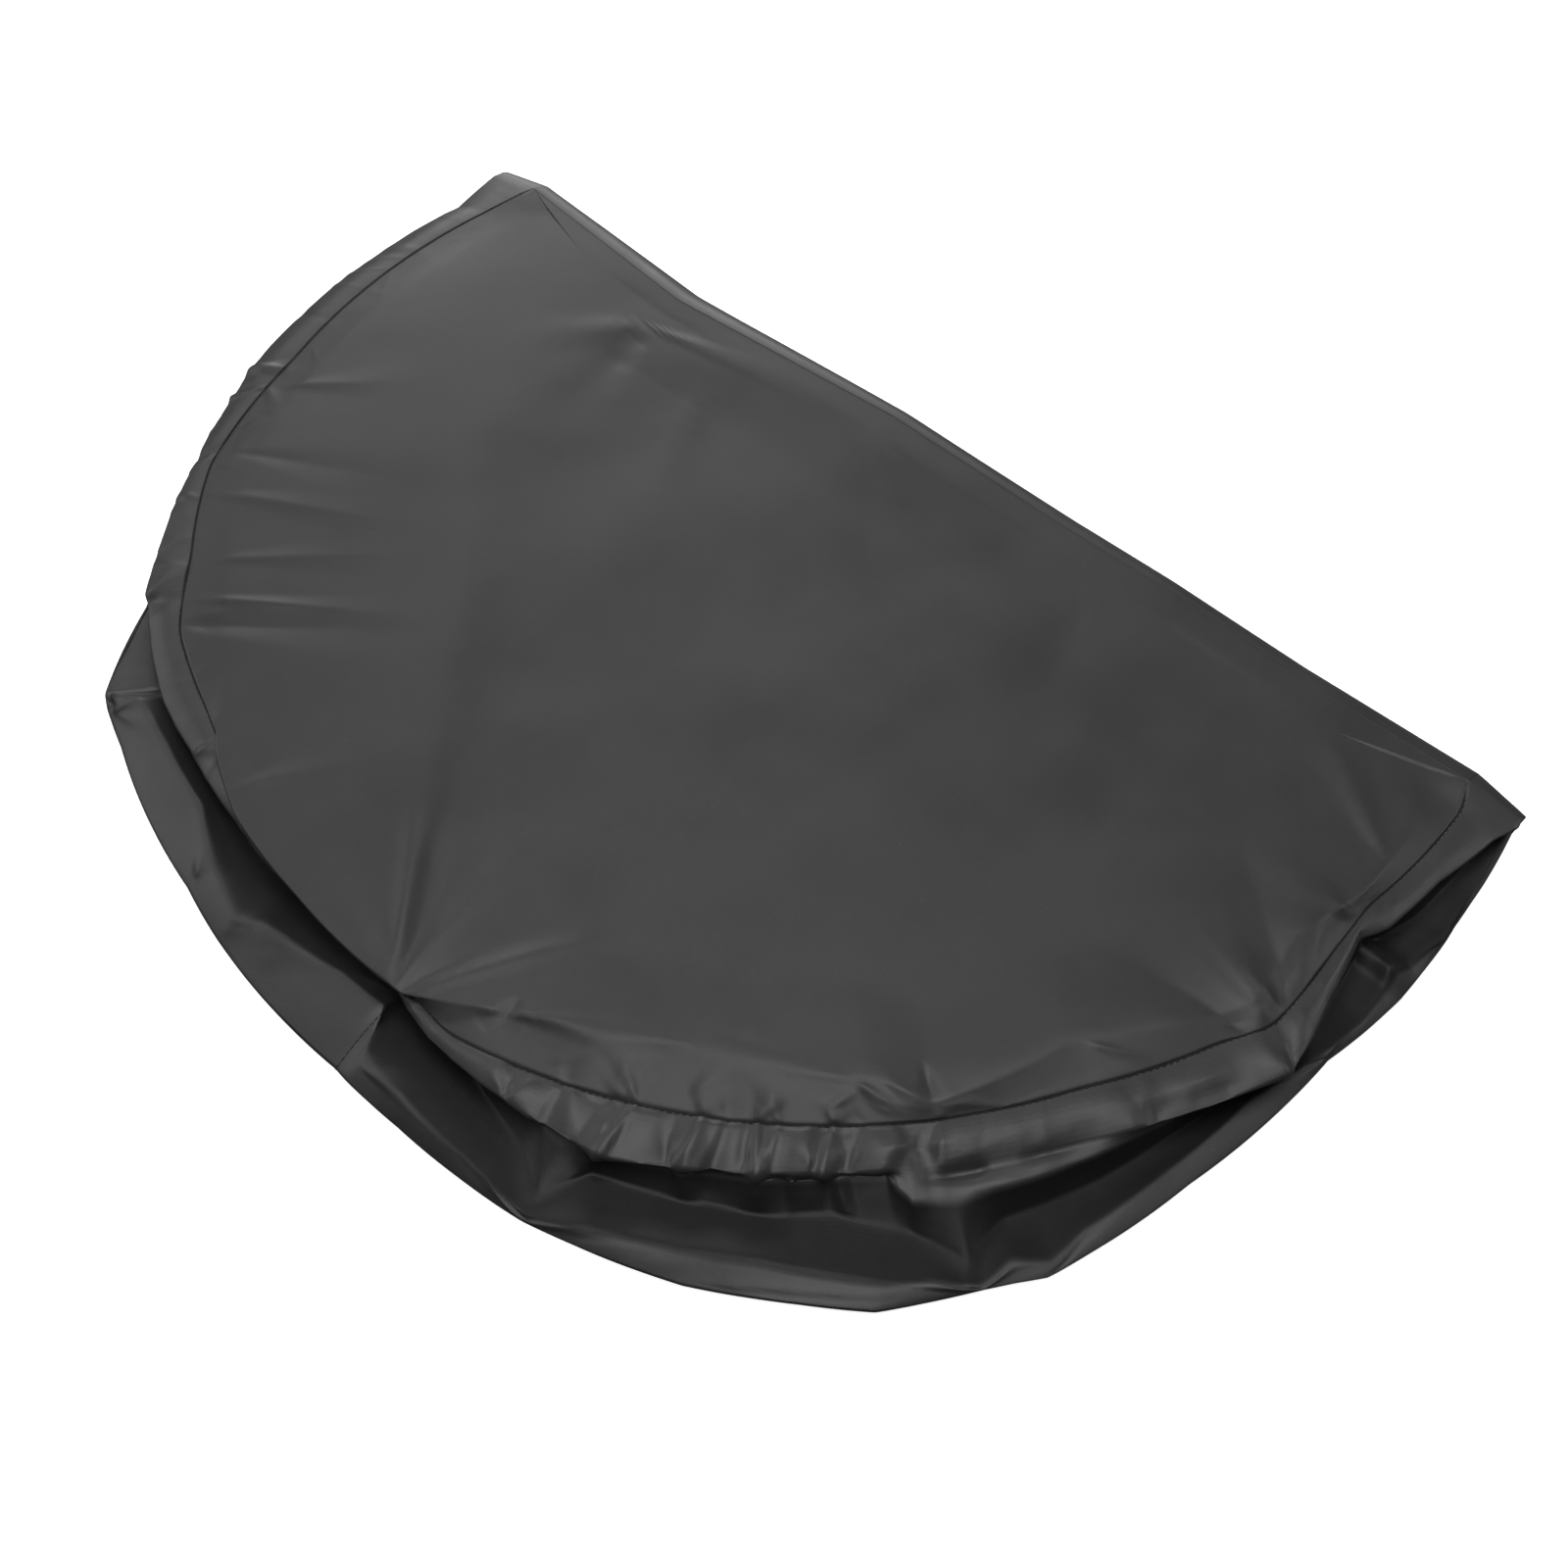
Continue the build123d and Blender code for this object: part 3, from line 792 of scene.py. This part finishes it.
FLAP_GATHER = 0.5 * MM
end_share = np.abs(flap_arc / flap_bearing) ** 6
flap_folds = []
for middle_place, end_place in FLAP_FOLDS:
    reach = (middle_place[0] + end_share * (end_place[0] - middle_place[0])) * MM
    height = (middle_place[1] + end_share * (end_place[1] - middle_place[1])) * MM
    flap_folds.append([reach, height])
flap_band_points, _ = band_rows(flap_folds, flap_bearings, flap_ring)
flap_run = run_along(flap_band_points)
flap_u = (flap_arc * face_radius)[None, :] + 0 * flap_run[:, None]
flap_v = flap_run[:, None] + 0 * flap_arc[None, :]
flap_still = np.clip((flap_bearing - np.abs(flap_arc)) / 0.12, 0, 1)
flap_lift = FLAP_GATHER * gathered[:, None] * crumple(flap_u, flap_v * 0.15, 0.016, random_draws, waves=3)
flap_band_points[..., 2] += flap_lift * flap_still
flap_band_flat = np.stack([flap_u, flap_v], axis=-1)
band_flap_cloth = finish_cloth(cloth_grid("band_flap_cloth", flap_band_points, flap_band_flat, flip=True))

# %% [markdown]
# ## The corners
# At each end of the fold the band rolls over the bend as well, and its pleats are pinched
# together into a point. Each corner is a small piece that joins the band's last column on top to
# its first column under the flap, round a bend that gets tighter towards the point.


# %% The two corners
def corner_grid(name, top_column, flap_column, flip):
    """Cloth from a column of the top band, round the fold, to a column of the flap's band."""
    middle_z = (top_column[:, 2] + flap_column[:, 2]) / 2
    half = (top_column[:, 2] - flap_column[:, 2]) / 2
    turn = bend_turn[:, 0][None, :]
    share = (1 + np.sin(turn)) / 2
    x = share * top_column[:, :1] + (1 - share) * flap_column[:, :1]
    y = fold_y + half[:, None] * np.cos(turn)
    z = middle_z[:, None] + half[:, None] * np.sin(turn)
    points = np.stack([x, y, z], axis=-1)
    points[:, 0] = top_column
    points[:, -1] = flap_column
    flat = np.stack([0 * x + bend_length[:, 0][None, :], band_run[:, None] + 0 * turn], axis=-1)
    return finish_cloth(cloth_grid(name, points, flat, flip))


corner_left = corner_grid("band_corner_left", band_points[:, 0], flap_band_points[:, 0], True)
corner_right = corner_grid("band_corner_right", band_points[:, -1], flap_band_points[:, -1], False)

# %% [markdown]
# ## Thread
# The seams are lockstitched in dark thread, a stitch about every three and a half millimetres.
# One stitch is modelled from a sphere, stretched to a grain, and copied along each line of
# stitching. There are hundreds of them, so each one has only a few dozen faces.

# %% One stitch, and lines of them
STITCH_PITCH = 3.6 * MM
STITCH_MARGIN = 9 * MM
HALF_SPAN = 0.001  # the direction of a stitch is taken over this much path each way
bpy.ops.object.select_all(action="DESELECT")
bpy.ops.mesh.primitive_uv_sphere_add(segments=6, ring_count=5, radius=0.5)
stitch = bpy.context.active_object
bpy.ops.object.mode_set(mode="EDIT")
bpy.ops.mesh.select_all(action="SELECT")
bpy.ops.transform.rotate(value=math.pi / 2, orient_axis="Y", center_override=(0, 0, 0))
bpy.ops.transform.resize(value=(2.9 * MM, 0.55 * MM, 0.5 * MM), center_override=(0, 0, 0))
bpy.ops.object.mode_set(mode="OBJECT")
stitch_points = np.array([tuple(vertex.co) for vertex in stitch.data.vertices])
stitch_faces = [tuple(face.vertices) for face in stitch.data.polygons]
bpy.data.objects.remove(stitch)
print("one stitch has", len(stitch_faces), "faces")


def stitch_line(name, path, normals):
    """Stitches end to end along a path of points, each lying square to the surface normal."""
    steps = np.linalg.norm(np.diff(path, axis=0), axis=1)
    run = np.concatenate([[0], np.cumsum(steps)])
    places = np.arange(STITCH_MARGIN, run[-1] - STITCH_MARGIN, STITCH_PITCH)
    points = []
    faces = []
    for place in places:
        ends = [
            [np.interp(place + half, run, path[:, axis]) for axis in range(3)]
            for half in (-HALF_SPAN, HALF_SPAN)
        ]
        along = np.array(ends[1]) - np.array(ends[0])
        along /= np.linalg.norm(along)
        up = np.array([np.interp(place, run, normals[:, axis]) for axis in range(3)])
        side = np.cross(up, along)
        side /= np.linalg.norm(side)
        up = np.cross(along, side)
        middle = (np.array(ends[0]) + np.array(ends[1])) / 2
        first = len(points) * len(stitch_points)
        points.append(middle + stitch_points @ np.array([along, side, up]))
        faces += [tuple(first + corner for corner in face) for face in stitch_faces]
    mesh = bpy.data.meshes.new(name)
    mesh.from_pydata(np.concatenate(points).tolist(), [], faces)
    piece = bpy.data.objects.new(name, mesh)
    bpy.context.scene.collection.objects.link(piece)
    mesh.shade_smooth()
    print(name, len(points), "stitches")
    return piece


# %% Lines of stitching
THREAD_PROUD = 0.2 * MM
FLAP_THREAD_RISE = 0.15 * MM * np.array([0, 0, 1])
final_normal = outward(band_points)
seam_stitches = stitch_line(
    "face_seam_stitches", band_points[1] + THREAD_PROUD * final_normal[1], final_normal[1]
)
hem_row = int(np.argmin(np.abs(band_numbers - 7.1)))
hem_stitches = stitch_line(
    "hem_stitches",
    band_points[hem_row] - THREAD_PROUD * final_normal[hem_row],
    -final_normal[hem_row],
)
flap_normal = -outward(flap_band_points)
flap_seam_stitches = stitch_line(
    "flap_seam_stitches", flap_band_points[1] + FLAP_THREAD_RISE, flap_normal[1]
)
flap_hem_stitches = stitch_line(
    "flap_hem_stitches", flap_band_points[hem_row] + FLAP_THREAD_RISE, flap_normal[hem_row]
)
cross_column = int(np.argmin(np.abs(arc - math.radians(5))))
cross_rows = slice(3, int(np.argmin(np.abs(band_numbers - 7))))
join_stitches = stitch_line(
    "band_join_stitches",
    band_points[cross_rows, cross_column] + THREAD_PROUD * final_normal[cross_rows, cross_column],
    final_normal[cross_rows, cross_column],
)


# %% [markdown]
# ## The coated cloth
# Woven polyester with a dark, slightly shiny coating. The colour is a near black that drifts a
# little, with faint dust, and its gloss drifts with it. Deep in a fold a point attribute paints
# shade: the colour goes to near black and the shine is turned down. The bump holds what is too
# small for the mesh: a fine weave and small crinkles.


# %% Helpers for materials
def new_material(name):
    material = bpy.data.materials.new(name)
    material.use_nodes = True
    return material, material.node_tree.nodes, material.node_tree.links


def ramp(nodes, positions, colours):
    """A colour ramp with the given stops."""
    node = nodes.new("ShaderNodeValToRGB")
    while len(node.color_ramp.elements) < len(positions):
        node.color_ramp.elements.new(0.5)
    for element, position, colour in zip(node.color_ramp.elements, positions, colours):
        element.position = position
        element.color = (*colour, 1.0)
    return node


# %% Coated cloth
def coated_cloth(name, crinkling, tones, roughness):
    """Coated cloth, more or less crinkled, between two dark tones and between two roughnesses."""
    material, nodes, links = new_material(name)
    shader = nodes["Principled BSDF"]
    place = nodes.new("ShaderNodeTexCoord")
    flat_place = nodes.new("ShaderNodeUVMap")
    flat_place.uv_map = "flat_cloth"

    drift = nodes.new("ShaderNodeTexNoise")
    drift.inputs["Scale"].default_value = 14.0
    drift.inputs["Detail"].default_value = 6.0
    drift.inputs["Roughness"].default_value = 0.62
    links.new(place.outputs["Object"], drift.inputs["Vector"])
    base = ramp(nodes, [0.35, 0.65], [(tone, tone, 1.015 * tone) for tone in tones])
    links.new(drift.outputs["Fac"], base.inputs["Fac"])

    specks = nodes.new("ShaderNodeTexNoise")
    specks.inputs["Scale"].default_value = 620.0
    specks.inputs["Detail"].default_value = 1.0
    links.new(place.outputs["Object"], specks.inputs["Vector"])
    speck_share = ramp(nodes, [0.72, 0.78], [(0.0, 0.0, 0.0), (0.12, 0.12, 0.12)])
    links.new(specks.outputs["Fac"], speck_share.inputs["Fac"])
    dusty = nodes.new("ShaderNodeMix")
    dusty.data_type = "RGBA"
    dusty.inputs["B"].default_value = (0.16, 0.16, 0.155, 1.0)
    links.new(speck_share.outputs["Color"], dusty.inputs["Factor"])
    links.new(base.outputs["Color"], dusty.inputs["A"])
    # Painted shade: deep in a fold the attribute mixes the colour to near black and turns the shine down.
    painted_shade_attribute = nodes.new("ShaderNodeAttribute")
    painted_shade_attribute.attribute_name = "clear_of_painted_shade"
    shaded = nodes.new("ShaderNodeMix")
    shaded.data_type = "RGBA"
    shaded.inputs["A"].default_value = (0.008, 0.008, 0.008, 1.0)
    links.new(painted_shade_attribute.outputs["Fac"], shaded.inputs["Factor"])
    links.new(dusty.outputs["Result"], shaded.inputs["B"])
    links.new(shaded.outputs["Result"], shader.inputs["Base Color"])
    shine = nodes.new("ShaderNodeMapRange")
    shine.inputs["To Min"].default_value = 0.08
    shine.inputs["To Max"].default_value = 0.5
    links.new(painted_shade_attribute.outputs["Fac"], shine.inputs["Value"])
    links.new(shine.outputs["Result"], shader.inputs["Specular IOR Level"])

    gloss = ramp(nodes, [0.3, 0.7], [(share, share, share) for share in roughness])
    links.new(drift.outputs["Fac"], gloss.inputs["Fac"])
    links.new(gloss.outputs["Color"], shader.inputs["Roughness"])

    crinkle = nodes.new("ShaderNodeTexNoise")
    crinkle.inputs["Scale"].default_value = 70.0
    crinkle.inputs["Detail"].default_value = 5.0
    links.new(place.outputs["Object"], crinkle.inputs["Vector"])

    weave_heights = []
    for direction in ("X", "Y"):
        threads = nodes.new("ShaderNodeTexWave")
        threads.bands_direction = direction
        threads.inputs["Scale"].default_value = 380.0
        links.new(flat_place.outputs["UV"], threads.inputs["Vector"])
        weave_heights.append(threads)
    weave = nodes.new("ShaderNodeMath")
    weave.operation = "MULTIPLY"
    links.new(weave_heights[0].outputs["Fac"], weave.inputs[0])
    links.new(weave_heights[1].outputs["Fac"], weave.inputs[1])

    previous = None
    for source, distance, strength in (
        (crinkle.outputs["Fac"], 0.0015, crinkling),
        (weave.outputs["Value"], 0.00008, 0.35),
    ):
        bump = nodes.new("ShaderNodeBump")
        bump.inputs["Distance"].default_value = distance
        bump.inputs["Strength"].default_value = strength
        links.new(source, bump.inputs["Height"])
        if previous is not None:
            links.new(previous.outputs["Normal"], bump.inputs["Normal"])
        previous = bump
    links.new(previous.outputs["Normal"], shader.inputs["Normal"])
    shader.inputs["Sheen Weight"].default_value = 0.08
    shader.inputs["Sheen Roughness"].default_value = 0.4
    return material


# %% Thread and elastic
def twisted(name, dark, light, turns, roughness):
    """Spun yarn: fine slanting bands of two tones with matching bump."""
    material, nodes, links = new_material(name)
    shader = nodes["Principled BSDF"]
    place = nodes.new("ShaderNodeTexCoord")
    bands = nodes.new("ShaderNodeTexWave")
    bands.bands_direction = "DIAGONAL"
    bands.inputs["Scale"].default_value = turns
    bands.inputs["Distortion"].default_value = 1.5
    links.new(place.outputs["Object"], bands.inputs["Vector"])
    tone = ramp(nodes, [0.2, 0.8], [dark, light])
    links.new(bands.outputs["Fac"], tone.inputs["Fac"])
    links.new(tone.outputs["Color"], shader.inputs["Base Color"])
    bump = nodes.new("ShaderNodeBump")
    bump.inputs["Distance"].default_value = 0.0002
    bump.inputs["Strength"].default_value = 0.6
    links.new(bands.outputs["Fac"], bump.inputs["Height"])
    links.new(bump.outputs["Normal"], shader.inputs["Normal"])
    shader.inputs["Roughness"].default_value = roughness
    return material


face_material = coated_cloth("coated_cloth_face", 0.06, (0.019, 0.025), (0.38, 0.48))
band_material = coated_cloth("coated_cloth_band", 0.16, (0.024, 0.031), (0.35, 0.46))
thread_material = twisted("thread", (0.008, 0.008, 0.008), (0.024, 0.024, 0.024), 600.0, 0.6)
elastic_material = twisted("elastic", (0.02, 0.02, 0.02), (0.06, 0.06, 0.06), 260.0, 0.85)

# %% [markdown]
# ## What rides on what
# The top and the flap are the two bodies that the fold joins. The bend and the two corners stay
# where they are made, on neither body.

# %% Bodies, slots and replaced solids
top_pieces = {
    face_top_cloth: ["face_panel_top"],
    band_top_cloth: ["side_band_outer", "side_band_tucked"],
    seam_stitches: ["face_seam_thread_top"],
    hem_stitches: ["hem_thread_top"],
    join_stitches: ["band_join_thread"],
}
flap_pieces = {
    flap_cloth: ["face_panel_flap"],
    band_flap_cloth: ["side_band_flap"],
    flap_seam_stitches: ["face_seam_thread_flap"],
    flap_hem_stitches: ["hem_thread_flap"],
}
for body, pieces in (("top", top_pieces), ("flap", flap_pieces)):
    for piece, nodes in pieces.items():
        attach(piece, body)
        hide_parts(*nodes)
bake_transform(bend_cloth)
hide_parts("face_panel_fold")
for corner in (corner_left, corner_right):
    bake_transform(corner)

face_pieces = [face_top_cloth, bend_cloth, flap_cloth]
band_pieces = [band_top_cloth, band_flap_cloth, corner_left, corner_right]
thread_pieces = [seam_stitches, hem_stitches, join_stitches, flap_seam_stitches, flap_hem_stitches]
for piece in face_pieces + band_pieces:
    piece.data.materials.append(face_material if piece in face_pieces else band_material)
for piece in thread_pieces:
    piece.data.materials.append(thread_material)
for node in ("hem_elastic_top", "hem_elastic_flap"):
    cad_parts[node].material_slots[0].material = elastic_material
